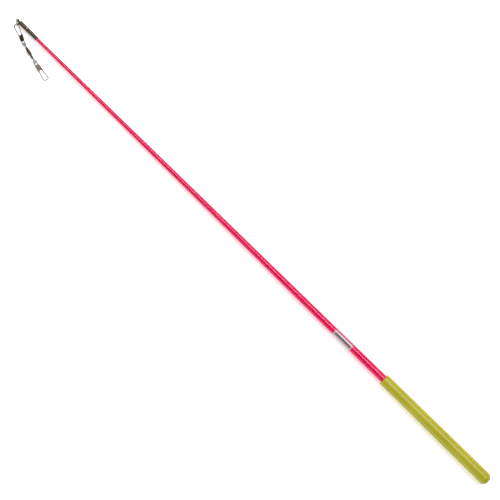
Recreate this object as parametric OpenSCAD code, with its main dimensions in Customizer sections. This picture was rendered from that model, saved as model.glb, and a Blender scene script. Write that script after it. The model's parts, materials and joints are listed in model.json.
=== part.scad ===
// Rhythmic gymnastics ribbon wand, lying on a floor: tapered rod, rubber grip, metal
// ferrule with a turning knob, jump ring, and a clip chain of two snaps and a barrel swivel.
// Row frame: X along the wand with the grip at +X, Z up, origin under the middle of the box.

/* [Wand] */
// Overall length from the butt of the grip to the end of the tip knob
wand_length = 600; // [500:1:600]
// How far the wand's axis stands off the frame's X axis, towards +Y
wand_offset = 8.25; // [8:0.05:8.5]
// Height of the tip knob's centre above the floor
tip_height = 3.33; // [3.2:0.01:3.4]

/* [Shaft] */
// Diameter the rod's taper would reach at the butt
shaft_butt_d = 9.15; // [9:0.05:9.3]
// Loss of diameter per millimetre towards the tip
shaft_taper = 0.0107; // [0.0105:0.0001:0.0109]

/* [Grip] */
// Length of the rubber sleeve
grip_length = 133; // [120:1:145]
// Diameter of the straight stretch at the butt
grip_butt_d = 12.06; // [11.9:0.02:12.2]
// Length of the straight stretch at the butt
grip_straight = 24; // [22:1:30]
// Diameter at the front edge
grip_front_d = 10.95; // [10.6:0.05:11]
// Depth of the domed end
grip_dome = 4.8; // [4:0.1:5.5]

/* [Label] */
// Length of the wrapped label
label_length = 21.8; // [15:0.1:30]
// Gap between the grip's front edge and the label
label_gap = 40.5; // [30:0.1:45]
// How far the label reaches round the rod, in degrees
label_wrap = 185; // [90:1:200]

/* [Ferrule] */
// Length of the swivel housing at the front
housing_length = 10.2; // [9.5:0.1:10.5]
// Diameter of the swivel housing
housing_d = 3.95; // [3.85:0.05:4]
// Length of the crimp sleeve behind the housing
sleeve_length = 11.5; // [10:0.5:16]
// Diameter of the crimp sleeve
sleeve_d = 3.7; // [3.6:0.05:3.8]

/* [Tip knob and ring] */
// Diameter of the ball knob
knob_d = 2.8; // [2.7:0.05:2.9]
// Distance from the knob's centre back to the housing's face
knob_reach = 2.7; // [2.5:0.05:2.9]
// How far the knob's cross hole is turned about the wand, in degrees
hole_turn = -15; // [-17:1:-13]
// Swing of the ring back from straight ahead, in degrees
ring_swing = 131; // [130:1:132]
// Radius of the jump ring at the middle of its wire
ring_r = 2.3; // [2.25:0.01:2.32]
// Diameter of the jump ring's wire
ring_wire_d = 0.9; // [0.8:0.02:0.92]

/* [Snaps] */
// Diameter of the snap wire
snap_wire_d = 0.8; // [0.7:0.02:0.82]
// Radius of the small eye at the middle of its wire
snap_eye_r = 1.5; // [1.48:0.01:1.52]
// Radius of the two nose corners at the middle of the wire
snap_corner_r = 1.6; // [1.4:0.05:1.8]
// Length of the folded plate
plate_length = 6.1; // [5.5:0.1:6.5]
// Thickness of the plate's sheet
plate_sheet = 0.25; // [0.2:0.01:0.26]

/* [Barrel swivel] */
// Distance between the centres of the two eyes
swivel_length = 17.66; // [17.6:0.01:17.7]
// Radius of each eye at the middle of its wire
swivel_eye_r = 1.6; // [1.55:0.01:1.62]
// Diameter of each eye's wire
swivel_wire_d = 0.9; // [0.8:0.02:0.92]
// Diameter of the barrel's fat lobe
barrel_d = 3.2; // [3:0.05:3.4]

/* [Hidden] */
$fn = 64;

rod_pink = [0.92, 0.08, 0.38];
grip_lime = [0.70, 0.67, 0.22];
dark_nickel = [0.24, 0.22, 0.21];
bright_steel = [0.72, 0.71, 0.69];
label_silver = [0.80, 0.74, 0.76];

// Clearances
bond_gap = 0.02;
running_gap = 0.05;
past = 1;

// Stations along the wand, measured from the butt
knob_r = knob_d / 2;
knob_station = wand_length - knob_r;
housing_end = knob_station - knob_reach;
housing_start = housing_end - housing_length;
sleeve_start = housing_start - sleeve_length;
rod_start = 3;
rod_end = housing_start + 4.2;
rivet_station = housing_start + 1.6;
label_start = grip_length + label_gap;
label_edge = 40;

// The grip lies on the floor where its straight stretch ends, and the axis runs slightly down
// to the tip
grip_r = grip_butt_d / 2;
rest_share = grip_straight / knob_station;
butt_height = (grip_r - rest_share * tip_height) / (1 - rest_share);
tilt = asin((butt_height - tip_height) / knob_station);
butt_at = [wand_length / 2, wand_offset, butt_height];
knob_at = butt_at - knob_station * [cos(tilt), 0, sin(tilt)];

// Inside the swivel housing
front_wall = 1.1;
neck_r = 0.8;
chamber_r = 1.42;
chamber_length = 3.9;
flange_r = 1.3;
flange_t = 0.7;
washer_t = 0.3;
rivet_r = 0.45;
rivet_head_r = 0.7;
rivet_seat = 0.15;
rivet_proud = 0.18;
rivet_turn = 34;
rivet_bevel = 0.25;

// The knob's cross hole, wide enough for the curve of the ring
knob_hole_r = ring_wire_d / 2 + 0.3;
knob_flat = 1.1;

// Snap outline in its own plane: eye centre at the origin, nose towards +X
wire_r = snap_wire_d / 2;
neck_at = [2.3, 1.1];
shoulder_at = [16.8, 2.4];
leg_run = shoulder_at - neck_at;
leg_angle = atan2(leg_run.y, leg_run.x);
neck_reach = norm(neck_at);
eye_tangent = sqrt(neck_reach ^ 2 - snap_eye_r ^ 2);
flare = asin(snap_eye_r / neck_reach) - atan2(neck_at.y, neck_at.x) + leg_angle;
eye_turn = 180 + 2 * (flare - leg_angle);
flare_r = 1;
flare_trim = flare_r * tan(flare / 2);
corner_turn = 90 + leg_angle;
corner_y = shoulder_at.y - snap_corner_r * cos(leg_angle);
front_x = shoulder_at.x + snap_corner_r * (1 + sin(leg_angle));
crimp_x = 5.2;
gate_tail_x = 5.9;
gate_split = 0.45;
plate_end = neck_at.x + plate_length;
plate_t = snap_wire_d + 2 * (running_gap + plate_sheet);
notch_half = 1;
notch_depth = 1.2;
channel_start = 5.55;
channel_edge = 0.85;

// Places and turns of the clip chain on the floor
upper_snap_at = [knob_at.x + 18.34, wand_offset - 11.15, 1.34];
upper_snap_turn = [-22, -1.5, 157];
swivel_at = upper_snap_at + [1.52, -0.49, 0.58];
swivel_turn = -14.5;
upper_eye_roll = -56;
lower_eye_roll = -48;
swivel_end = swivel_at + swivel_length * [cos(swivel_turn), sin(swivel_turn), 0];
lower_snap_at = [swivel_end.x + 1.32, swivel_end.y - 0.28, 1.39];
lower_snap_turn = [-20, -0.5, -12];

// Barrel swivel, measured from the centre of the upper eye
eye_wire_r = swivel_wire_d / 2;
shank_r = 0.5;
upper_bead_at = 5.9;
upper_bead_r = 0.95;
lower_bead_at = 12.5;
lower_bead_r = 0.7;
bead_room = 0.12;
barrel_start = 2.75;
barrel_end = 15;
lip_r = 1;
lip_length = 0.85;
lip_edge = [0.1, 0.25];
belly_at = 7.8;
belly_reach = 4.6;
waist_at = 11.7;
waist_r = 0.85;
small_lobe_at = [0.55, 13.3];
small_lobe = [0.5, 1.3];
mouth_r = 0.75;

function rod_r(station) = (shaft_butt_d - shaft_taper * station) / 2;
function leg_y(x) = neck_at.y + (x - neck_at.x) * tan(leg_angle);
function arc(centre, radii, from, to, steps) =
    [for (i = [0:steps]) let (a = from + (to - from) * i / steps)
        centre + [radii.x * cos(a), radii.y * sin(a)]];

// Wand frame: Z runs from the butt to the tip, X is up, Y stays the frame's Y
module along_wand(station = 0) {
    translate(butt_at)
        rotate([0, -90 - tilt, 0])
            translate([0, 0, station])
                children();
}

module round_bar(r, from, to) {
    translate([from, 0, 0])
        rotate([0, 90, 0])
            cylinder(r = r, h = to - from);
}

module wire_ring(mid_r, r) {
    rotate_extrude()
        translate([mid_r, 0])
            circle(r);
}

// A bend that starts at the origin towards +X; a positive angle turns left
module wire_bend(r, bend_r, angle) {
    mirror([0, angle < 0 ? 1 : 0, 0])
        translate([0, bend_r, 0])
            rotate([0, 0, -90])
                rotate_extrude(angle = abs(angle))
                    translate([bend_r, 0])
                        circle(r);
}

// A wire formed step by step; a step is a straight length, a bend radius and a bend angle
module formed_wire(r, steps, i = 0) {
    straight = steps[i][0];
    bend_r = steps[i][1];
    angle = steps[i][2];
    side = angle < 0 ? -1 : 1;
    round_bar(r, 0, straight);
    translate([straight, 0, 0])
        if (angle != 0)
            wire_bend(r, bend_r, angle);
    if (i + 1 < len(steps))
        translate([straight, side * bend_r, 0])
            rotate([0, 0, angle])
                translate([0, -side * bend_r, 0])
                    formed_wire(r, steps, i + 1);
}

module shaft() {
    color(rod_pink)
        along_wand()
            difference() {
                translate([0, 0, rod_start])
                    cylinder(r1 = rod_r(rod_start), r2 = rod_r(rod_end), h = rod_end - rod_start);
                rivet_bore();
            }
}

// Rubber sleeve with a domed butt, a straight stretch, a taper and a rounded front rim
module grip_sleeve() {
    rim = 0.6;
    front_r = grip_front_d / 2;
    color(grip_lime)
        along_wand()
            rotate_extrude()
                polygon(concat(
                    arc([0, grip_dome], [grip_r, grip_dome], -90, 0, 9),
                    [[grip_r, grip_straight]],
                    arc([front_r - rim, grip_length - rim], [rim, rim], 0, 90, 4),
                    [
                        [rod_r(grip_length) + bond_gap, grip_length],
                        [rod_r(rod_start) + bond_gap, rod_start],
                        [0, rod_start]
                    ]));
}

// Foil label wrapped part of the way round the rod
module label_band() {
    foil = 0.12;
    near_r = rod_r(label_start) + bond_gap;
    far_r = rod_r(label_start + label_length) + bond_gap;
    color(label_silver)
        along_wand(label_start)
            rotate([0, 0, label_edge - label_wrap])
                rotate_extrude(angle = label_wrap)
                    polygon([
                        [near_r, 0],
                        [near_r + foil, 0],
                        [far_r + foil, label_length],
                        [far_r, label_length]
                    ]);
}

module ferrule_sleeve() {
    outer = sleeve_d / 2;
    edge = 0.2;
    color(dark_nickel)
        along_wand()
            rotate_extrude()
                polygon([
                    [rod_r(sleeve_start) + bond_gap, sleeve_start],
                    [outer - edge, sleeve_start],
                    [outer, sleeve_start + edge],
                    [outer, housing_start - bond_gap],
                    [rod_r(housing_start) + bond_gap, housing_start - bond_gap]
                ]);
}

// Housing over the rod's end: rivet seats behind, swivel chamber in front
module swivel_housing() {
    outer = housing_d / 2;
    edge = 0.15;
    nose = 0.7;
    color(dark_nickel)
        along_wand()
            difference() {
                rotate_extrude()
                    polygon(concat(
                        [[0, housing_start], [outer - edge, housing_start]],
                        [[outer, housing_start + edge]],
                        arc([outer - nose, housing_end - nose], [nose, nose], 0, 90, 5),
                        [[0, housing_end]]));
                translate([0, 0, housing_start - past])
                    cylinder(
                        r1 = rod_r(housing_start - past) + bond_gap,
                        r2 = rod_r(rod_end + bond_gap) + bond_gap,
                        h = rod_end + bond_gap - housing_start + past);
                translate([0, 0, housing_end - front_wall - chamber_length])
                    cylinder(r = chamber_r, h = chamber_length);
                translate([0, 0, housing_end - front_wall - past])
                    cylinder(r = neck_r + running_gap, h = front_wall + 2 * past);
                rivet_bore();
                on_rivet_axis()
                    for (end = [0, 1])
                        mirror([0, 0, end])
                            translate([0, 0, outer - rivet_seat])
                                cylinder(r = rivet_head_r + bond_gap, h = past);
            }
}

module on_rivet_axis() {
    translate([0, 0, rivet_station])
        rotate([0, 0, rivet_turn])
            rotate([0, 90, 0])
                children();
}

module rivet_bore() {
    on_rivet_axis()
        cylinder(r = rivet_r + bond_gap, h = 2 * housing_d, center = true);
}

// Rivet through the housing and the rod, with a low head on each side
module cross_rivet() {
    seat = housing_d / 2 - rivet_seat + bond_gap;
    color(bright_steel)
        along_wand()
            on_rivet_axis() {
                cylinder(r = rivet_r, h = 2 * seat, center = true);
                for (end = [0, 1])
                    mirror([0, 0, end])
                        translate([0, 0, seat])
                            cylinder(
                                r1 = rivet_head_r,
                                r2 = rivet_head_r - rivet_bevel,
                                h = rivet_seat + rivet_proud);
            }
}

module swivel_washer() {
    color(bright_steel)
        along_wand(housing_end - front_wall - washer_t - bond_gap)
            difference() {
                cylinder(r = chamber_r - bond_gap, h = washer_t);
                translate([0, 0, -past])
                    cylinder(r = neck_r + running_gap, h = washer_t + 2 * past);
            }
}

// Ball knob on a neck that turns in the housing, held in by a flange behind the washer
module tip_swivel() {
    flange_end = housing_end - front_wall - washer_t - 2 * running_gap;
    color(dark_nickel)
        along_wand()
            difference() {
                union() {
                    translate([0, 0, knob_station])
                        rotate([0, 0, hole_turn])
                            intersection() {
                                sphere(r = knob_r);
                                cube([2 * knob_flat, 2 * knob_d, 2 * knob_d], center = true);
                            }
                    translate([0, 0, flange_end - flange_t])
                        cylinder(r = flange_r, h = flange_t);
                    translate([0, 0, flange_end - past / 2])
                        cylinder(r = neck_r, h = knob_station - flange_end);
                }
                translate([0, 0, knob_station])
                    rotate([0, 0, hole_turn])
                        rotate([0, 90, 0])
                            cylinder(r = knob_hole_r, h = 2 * knob_d, center = true);
            }
}

// Jump ring through the knob's cross hole, fallen back beside the ferrule
module tip_ring() {
    color(bright_steel)
        along_wand(knob_station)
            rotate([ring_swing, 0, hole_turn])
                translate([0, 0, ring_r])
                    rotate([90, 0, 0])
                        wire_ring(ring_r, ring_wire_d / 2);
}

// Fixed wire: crimped tail, eye, back leg, far corner, and the nose up to the gate
module snap_wire() {
    tail_run = (crimp_x - neck_at.x) / cos(leg_angle);
    color(bright_steel)
        translate([crimp_x, leg_y(crimp_x), 0])
            rotate([0, 0, 180 + leg_angle])
                formed_wire(wire_r, [
                    [tail_run - flare_trim, flare_r, -flare],
                    [eye_tangent - flare_trim, snap_eye_r, eye_turn],
                    [eye_tangent - flare_trim, flare_r, -flare],
                    [norm(leg_run) - flare_trim, snap_corner_r, corner_turn],
                    [corner_y + gate_split, 0, 0]
                ]);
}

// Sprung leg that twists about the nose wire and lifts out of the plate's channel
module snap_gate() {
    gate_start = gate_split + running_gap;
    color(bright_steel)
        translate([front_x, gate_start, 0])
            rotate([0, 0, 90])
                formed_wire(wire_r, [
                    [corner_y - gate_start, snap_corner_r, corner_turn],
                    [(shoulder_at.x - gate_tail_x) / cos(leg_angle), 0, 0]
                ]);
}

module plate_outline(wall, from, to, notch) {
    from_y = leg_y(from) + wall;
    to_y = leg_y(to) + wall;
    polygon([
        [from, -from_y],
        [to, -to_y],
        [to, -notch_half],
        [to - notch, 0],
        [to, notch_half],
        [to, to_y],
        [from, from_y]
    ]);
}

// Folded plate round both legs, open on top over the gate's tail
module snap_plate() {
    inner = wire_r + running_gap;
    color(dark_nickel)
        difference() {
            linear_extrude(plate_t, center = true)
                plate_outline(inner + plate_sheet, neck_at.x, plate_end, notch_depth);
            linear_extrude(2 * inner, center = true)
                plate_outline(inner, neck_at.x - past, plate_end + past, 0);
            translate([channel_start, channel_edge, 0])
                cube([plate_length, plate_length, plate_t]);
        }
}

module at_upper_snap() {
    translate(upper_snap_at)
        rotate(upper_snap_turn)
            children();
}

module at_lower_snap() {
    translate(lower_snap_at)
        rotate(lower_snap_turn)
            children();
}

module at_swivel(roll = 0) {
    translate(swivel_at)
        rotate([roll, 0, swivel_turn])
            children();
}

// Eye, shank and the bead that holds the shank inside the barrel
module swivel_eye(bead_at, bead_r) {
    color(dark_nickel) {
        wire_ring(swivel_eye_r, eye_wire_r);
        round_bar(shank_r, swivel_eye_r, bead_at);
        translate([bead_at, 0, 0])
            sphere(r = bead_r);
    }
}

// Crimped barrel: fat lobe over the upper bead, waist, small lobe over the lower bead
module swivel_barrel() {
    fat = barrel_d / 2;
    bore = shank_r + running_gap;
    color(dark_nickel)
        at_swivel()
            rotate([0, 90, 0])
                difference() {
                    rotate_extrude()
                        polygon(concat(
                            [[0, barrel_start], [lip_r - lip_edge.x, barrel_start]],
                            [[lip_r, barrel_start + lip_edge.y]],
                            [[lip_r, barrel_start + lip_length]],
                            arc([0, belly_at], [fat, belly_reach], -50, 55, 10),
                            [[waist_r, waist_at]],
                            arc(small_lobe_at, small_lobe, -60, 60, 6),
                            [[mouth_r, barrel_end], [0, barrel_end]]));
                    translate([0, 0, barrel_start - past])
                        cylinder(r = bore, h = barrel_end - barrel_start + 2 * past);
                    translate([0, 0, upper_bead_at])
                        sphere(r = upper_bead_r + bead_room);
                    translate([0, 0, lower_bead_at])
                        sphere(r = lower_bead_r + bead_room);
                }
}

shaft();
grip_sleeve();
label_band();
ferrule_sleeve();
swivel_housing();
cross_rivet();
swivel_washer();
tip_swivel();
tip_ring();
at_upper_snap() snap_wire();  // upper_snap_wire
at_upper_snap() snap_plate();  // upper_snap_plate
at_upper_snap() snap_gate();  // upper_snap_gate
at_swivel(upper_eye_roll) swivel_eye(upper_bead_at, upper_bead_r);  // swivel_eye_upper
swivel_barrel();
translate(swivel_end)  // swivel_eye_lower
        rotate([lower_eye_roll, 0, 180 + swivel_turn])
            swivel_eye(swivel_length - lower_bead_at, lower_bead_r);
at_lower_snap() snap_wire();  // lower_snap_wire
at_lower_snap() snap_plate();  // lower_snap_plate
at_lower_snap() snap_gate();  // lower_snap_gate
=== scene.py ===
"""Looks of a rhythmic ribbon wand: tapered rod, rubber grip, ferrule, knob, ring, snaps and swivel.

Pieces are shaped in millimetres in a place of their own and then carried into the CAD frame.
"""
import functools
import json
import math

import bpy
import numpy as np
from bpy.props import FloatProperty, FloatVectorProperty, IntProperty, PointerProperty
from mathutils import Matrix, Vector


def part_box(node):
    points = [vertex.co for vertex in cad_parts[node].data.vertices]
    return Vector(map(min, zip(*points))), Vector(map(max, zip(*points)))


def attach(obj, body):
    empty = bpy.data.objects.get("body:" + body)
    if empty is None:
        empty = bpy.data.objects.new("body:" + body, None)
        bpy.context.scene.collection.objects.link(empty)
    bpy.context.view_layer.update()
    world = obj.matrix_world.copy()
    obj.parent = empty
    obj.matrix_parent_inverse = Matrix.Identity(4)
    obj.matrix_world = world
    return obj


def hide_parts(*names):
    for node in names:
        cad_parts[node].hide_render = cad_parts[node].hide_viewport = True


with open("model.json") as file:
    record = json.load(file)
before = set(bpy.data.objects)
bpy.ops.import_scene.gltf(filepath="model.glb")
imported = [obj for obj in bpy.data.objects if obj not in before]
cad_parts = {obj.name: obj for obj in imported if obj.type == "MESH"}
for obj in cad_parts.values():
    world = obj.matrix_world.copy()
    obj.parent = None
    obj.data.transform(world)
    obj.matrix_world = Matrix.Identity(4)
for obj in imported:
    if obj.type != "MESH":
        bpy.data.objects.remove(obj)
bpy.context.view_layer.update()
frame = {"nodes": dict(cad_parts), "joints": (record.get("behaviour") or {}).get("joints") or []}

bl_info = {
    "name": "Ribbon wand",
    "version": (1, 0, 0),
    "blender": (4, 5, 0),
    "location": "3D View > Sidebar > Ribbon wand",
    "description": "Visible pieces of a rhythmic ribbon wand, around its CAD frame",
    "category": "Add Mesh",
}

JOINTS = {joint["name"]: joint for joint in frame["joints"]}
MM = 0.001
SHARP_EDGE = math.radians(40)
PLATE_FOLD_STEPS = 6
PLATE_FLAT_STEPS = 6
PLATE_LIP_STEPS = 3
PLATE_SIDE_STEPS = 2
PLATE_COLUMNS = 8


# ---------------------------------------------------------------- settings

def length(name, description, millimetres):
    """A size property, given in millimetres and kept in metres."""
    return FloatProperty(
        name=name, description=description, default=millimetres * MM, min=0, unit="LENGTH", precision=5
    )


def angle(name, description, degrees):
    """An angle property, given in degrees and kept in radians."""
    return FloatProperty(
        name=name, description=description, default=math.radians(degrees), subtype="ANGLE"
    )


def colour(name, description, linear):
    """A colour property in linear light."""
    return FloatVectorProperty(
        name=name, description=description, default=linear, size=3, min=0, max=1, subtype="COLOR"
    )


class WandSettings(bpy.types.PropertyGroup):
    """Rod, grip and label."""

    rod_colour: colour("Rod", "Lacquer of the rod", (0.98, 0.002, 0.115))
    grip_colour: colour("Grip", "Rubber of the grip", (0.49, 0.445, 0.010))
    label_colour: colour("Label", "Foil of the label", (0.60, 0.49, 0.51))
    ink_colour: colour("Label bars", "Bars printed on the label", (0.13, 0.10, 0.105))
    grip_dome: length("Dome", "Depth of the grip's domed butt", 4.8)
    grip_straight: length("Straight stretch", "Where the grip starts to taper", 24)
    grip_rim: length("Rim", "Rounding of the grip's front edge", 0.6)
    bar_count: IntProperty(
        name="Bars", description="Bars printed along the label", default=9, min=1, max=20
    )
    bar_length: length("Bar length", "Size of a bar along the rod", 1.5)
    bar_arc: angle("Bar width", "How far a bar reaches round the rod", 38)
    bar_turn: angle("Bar turn", "Middle of the bars, from the top of the rod", -11)


class MetalSettings(bpy.types.PropertyGroup):
    """Ferrule, knob, ring, snaps and swivel."""

    nickel_colour: colour("Dark nickel", "Ferrule, plates and swivel", (0.105, 0.080, 0.060))
    steel_colour: colour("Steel", "Ring, eyes and snap wires", (0.30, 0.28, 0.25))
    rivet_colour: colour("Bright steel", "Polished head of the rivet", (0.90, 0.88, 0.85))
    crimp_count: IntProperty(
        name="Crimps", description="Rolled grooves round the sleeve", default=3, min=0, max=6
    )
    crimp_start: length("First crimp", "From the sleeve's rear end to its first groove", 2.2)
    crimp_pitch: length("Crimp pitch", "Distance between two grooves", 1.6)
    crimp_depth: length("Crimp depth", "Depth of a groove", 0.16)
    knob_radius: length("Knob", "Radius of the ball knob", 1.4)
    knob_hole: length("Knob hole", "Radius of the knob's cross hole", 0.75)
    knob_flat: length("Knob flats", "From the knob's centre to a flat", 1.1)
    neck_radius: length("Neck", "Radius of the knob's neck", 0.8)
    ring_split: angle("Ring split", "Opening between the jump ring's ends", 3)
    snap_shoulder: length("Shoulder", "Where the snap's legs end, from its eye", 16.8)
    snap_half_width: length("Shoulder width", "Half the snap's width there", 2.4)
    snap_neck: length("Neck", "Where the snap's legs start, from its eye", 2.3)
    snap_half_neck: length("Neck width", "Half the snap's width there", 1.1)
    snap_corner: length("Nose corner", "Bend radius of the nose corners", 1.6)
    plate_sheet: length("Plate sheet", "Thickness of the folded plate", 0.25)
    plate_notch: length("Plate notch", "Depth of the plate's V notch", 1.2)
    eye_radius: length("Swivel eye", "Radius of an eye at the middle of its wire", 1.6)
    eye_bend: length("Eye bend", "Bend radius where an eye meets its shank", 0.6)


class StageSettings(bpy.types.PropertyGroup):
    """Camera, floor and lights."""

    view_width: length("View width", "Width of floor that the camera sees", 453.97)
    lens: FloatProperty(name="Lens", description="Focal length, in mm", default=100, min=20)
    turn: angle("Turn", "Turn of the camera about the vertical", 44.45)
    aim: FloatVectorProperty(
        name="Aim", description="Point under the camera", default=(-0.0015, 0.00697, 0.005),
        size=3, subtype="XYZ", unit="LENGTH"
    )
    floor_colour: colour("Floor", "Pale floor", (0.90, 0.90, 0.90))
    floor_glow: FloatProperty(name="Glow", description="Light of the lit floor itself", default=0.55)
    key_power: FloatProperty(name="Key", description="Power of the key light, in watts", default=17)
    fill_power: FloatProperty(name="Fill", description="Power of the fill light, in watts", default=4.5)
    sky_strength: FloatProperty(name="Sky", description="Strength of the even light", default=0.07)


# ---------------------------------------------------------------- node graphs

class Value:
    """A socket of a node graph; arithmetic on it adds Math nodes."""

    def __init__(self, graph, socket):
        self.graph = graph
        self.socket = socket

    def other(self, name):
        """Another output of the same node."""
        return Value(self.graph, self.socket.node.outputs[name])

    def __add__(self, other):
        return self.graph.math("ADD", self, other)

    def __sub__(self, other):
        return self.graph.math("SUBTRACT", self, other)

    def __mul__(self, other):
        return self.graph.math("MULTIPLY", self, other)

    def __truediv__(self, other):
        return self.graph.math("DIVIDE", self, other)

    def __lt__(self, other):
        return self.graph.math("LESS_THAN", self, other)

    def __abs__(self):
        return self.graph.math("ABSOLUTE", self)


class Graph:
    """A node tree under construction."""

    def __init__(self, tree):
        self.tree = tree

    def node(self, kind, settings=None, sockets=None, output=0):
        """Adds a node, its settings first and then its sockets, and returns one output."""
        node = self.tree.nodes.new(kind)
        for name, value in (settings or {}).items():
            if name == "stops":
                shape_ramp(node.color_ramp, value)
            else:
                setattr(node, name, value)
        for name, value in (sockets or {}).items():
            self.feed(node.inputs[name], value)
        return Value(self, node.outputs[output])

    def feed(self, socket, value):
        """Links a value into a socket, or sets the socket's constant."""
        if isinstance(value, Value):
            self.tree.links.new(value.socket, socket)
        else:
            socket.default_value = value

    def math(self, operation, *values):
        """One step of arithmetic."""
        return self.node("ShaderNodeMath", {"operation": operation}, dict(enumerate(values)))


def shape_ramp(ramp, stops):
    """Sets a colour ramp to (position, grey) stops."""
    while len(ramp.elements) > len(stops):
        ramp.elements.remove(ramp.elements[-1])
    while len(ramp.elements) < len(stops):
        ramp.elements.new(1)
    for element, (position, grey) in zip(ramp.elements, stops):
        element.position = position
        element.color = (grey, grey, grey, 1)


class Finish(Graph):
    """A material: its Principled shader and the graph that feeds it."""

    def __init__(self, name, constants):
        self.material = bpy.data.materials.new(name)
        self.material.use_nodes = True
        super().__init__(self.material.node_tree)
        self.shader = self.tree.nodes["Principled BSDF"]
        for socket, value in constants.items():
            self.shader.inputs[socket].default_value = value

    def coordinates(self, stretch=(1, 1, 1)):
        """Object coordinates, squeezed along each axis."""
        place = self.node("ShaderNodeTexCoord").other("Object")
        return self.node("ShaderNodeMapping", None, {"Vector": place, "Scale": stretch})

    def noise(self, grain, stretch=(1, 1, 1), detail=2.0):
        """Noise from 0 to 1 with blotches of about that many millimetres."""
        return self.node("ShaderNodeTexNoise", None, {
            "Vector": self.coordinates(stretch), "Scale": 1 / (grain * MM), "Detail": detail
        })

    def ramp(self, value, stops):
        """A value spread again over (position, grey) stops."""
        return self.node("ShaderNodeValToRGB", {"stops": stops}, {"Fac": value})

    def blend(self, factor, first, second):
        """Colour between two colours."""
        return self.node(
            "ShaderNodeMix", {"data_type": "RGBA"}, {0: factor, 6: first, 7: second}, output=2
        )

    def bump(self, height, depth):
        """Relief of that many millimetres on the shader's normal."""
        relief = self.node("ShaderNodeBump", None, {
            "Height": height, "Distance": depth * MM, "Strength": 1.0
        })
        self.paint("Normal", relief)

    def paint(self, socket, value):
        """Feeds a socket of the shader."""
        self.feed(self.shader.inputs[socket], value)


class Recipe(Graph):
    """A Geometry Nodes tree that ends in Realize Instances and Set Material."""

    def __init__(self, name, sizes):
        super().__init__(bpy.data.node_groups.new(name, "GeometryNodeTree"))
        self.add_socket("Geometry", "INPUT", "NodeSocketGeometry")
        for label, default in sizes.items():
            kind = "NodeSocketInt" if isinstance(default, int) else "NodeSocketFloat"
            self.add_socket(label, "INPUT", kind).default_value = default
        self.add_socket("Material", "INPUT", "NodeSocketMaterial")
        self.add_socket("Geometry", "OUTPUT", "NodeSocketGeometry")
        self.entry = self.tree.nodes.new("NodeGroupInput")

    def add_socket(self, label, side, kind):
        """A named input or output of the tree."""
        return self.tree.interface.new_socket(label, in_out=side, socket_type=kind)

    def given(self, label):
        """The value of a named input."""
        return Value(self, self.entry.outputs[label])

    def close(self, geometry):
        """Ends the tree with this geometry."""
        whole = self.node("GeometryNodeRealizeInstances", None, {"Geometry": geometry})
        dressed = self.node(
            "GeometryNodeSetMaterial", None, {"Geometry": whole, "Material": self.given("Material")}
        )
        leave = self.tree.nodes.new("NodeGroupOutput")
        self.tree.links.new(dressed.socket, leave.inputs["Geometry"])


def grow(recipe, source, values):
    """Plain mesh that a recipe makes out of a source mesh."""
    carrier = bpy.data.objects.new("carrier", source)
    bpy.context.scene.collection.objects.link(carrier)
    modifier = carrier.modifiers.new("recipe", "NODES")
    modifier.node_group = recipe.tree
    for item in recipe.tree.interface.items_tree:
        if item.in_out == "INPUT" and item.name in values:
            modifier[item.identifier] = values[item.name]
    return settled(carrier)


def settled(carrier):
    """Mesh of an object with its modifiers applied; the object itself goes."""
    bpy.context.view_layer.update()
    depsgraph = bpy.context.evaluated_depsgraph_get()
    mesh = bpy.data.meshes.new_from_object(carrier.evaluated_get(depsgraph))
    carrier.modifiers.clear()
    bpy.data.objects.remove(carrier)
    return mesh


# ---------------------------------------------------------------- places

def joint_point(name):
    """Point on a joint's axis."""
    return Vector(JOINTS[name]["pos_m"])


def joint_axis(name):
    """Direction of a joint's axis."""
    return Vector(JOINTS[name]["axis"]).normalized()


def place(origin, x, y, z):
    """Matrix from a piece's own millimetres to the frame."""
    turn = Matrix((x, y, z)).transposed().to_4x4()
    return Matrix.Translation(origin) @ turn @ Matrix.Scale(MM, 4)


def wand_place():
    """Origin at the butt, Z along the wand to its tip, X up."""
    along = joint_axis("tip_spin")
    knob = joint_point("tip_spin")
    across = Vector((0, 1, 0))
    butt_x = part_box("grip_sleeve")[1].x
    butt = knob + along * ((butt_x - knob.x) / along.x)
    return place(butt, across.cross(along), across, along)


def knob_place():
    """Origin at the knob's centre, Z along the wand, X along the knob's cross hole."""
    along = joint_axis("tip_spin")
    hole = joint_axis("ring_swing")
    return place(joint_point("tip_spin"), hole, along.cross(hole), along)


def ring_place():
    """Origin at the jump ring's centre, X towards the knob, Z across the ring."""
    low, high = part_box("tip_ring")
    centre = (low + high) / 2
    inward = (joint_point("ring_swing") - centre).normalized()
    across = joint_axis("ring_swing").cross(inward).normalized()
    return place(centre, inward, across.cross(inward), across)


def snap_place(side):
    """Origin at the snap's eye, X to its nose, gate on the Y side."""
    swing = {"upper": "swivel_swing", "lower": "lower_snap_swing"}[side]
    z = joint_axis(swing)
    y = joint_axis(side + "_gate_lift")
    return place(joint_point(swing), y.cross(z), y, z)


def barrel_place():
    """Origin at the upper eye's centre, Z along the barrel to the lower eye, X level."""
    along = joint_axis("barrel_spin")
    level = Vector((0, 0, 1)).cross(along).normalized()
    return place(joint_point("barrel_spin"), level, along.cross(level), along)


def eye_place(node, centre, along):
    """Origin at an eye's centre, X along its shank, Z square to its loop."""
    spread = metal_settings().eye_radius + 0.5 * MM
    offsets = [vertex.co - centre for vertex in frame["nodes"][node].data.vertices]
    loop = [offset for offset in offsets if offset.length < spread]
    flattest = Vector(np.linalg.svd(np.array(loop), full_matrices=False)[2][2])
    normal = (flattest - along * flattest.dot(along)).normalized()
    return place(centre, along, normal.cross(along), normal)


def points_of(node, where):
    """Every vertex of a CAD node in a place, in millimetres."""
    inside = where.inverted()
    return np.array([inside @ vertex.co for vertex in frame["nodes"][node].data.vertices])


def reach(node, where):
    """Lowest and highest corner of a CAD node in a place, in millimetres."""
    points = points_of(node, where)
    return Vector(points.min(axis=0)), Vector(points.max(axis=0))


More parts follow.
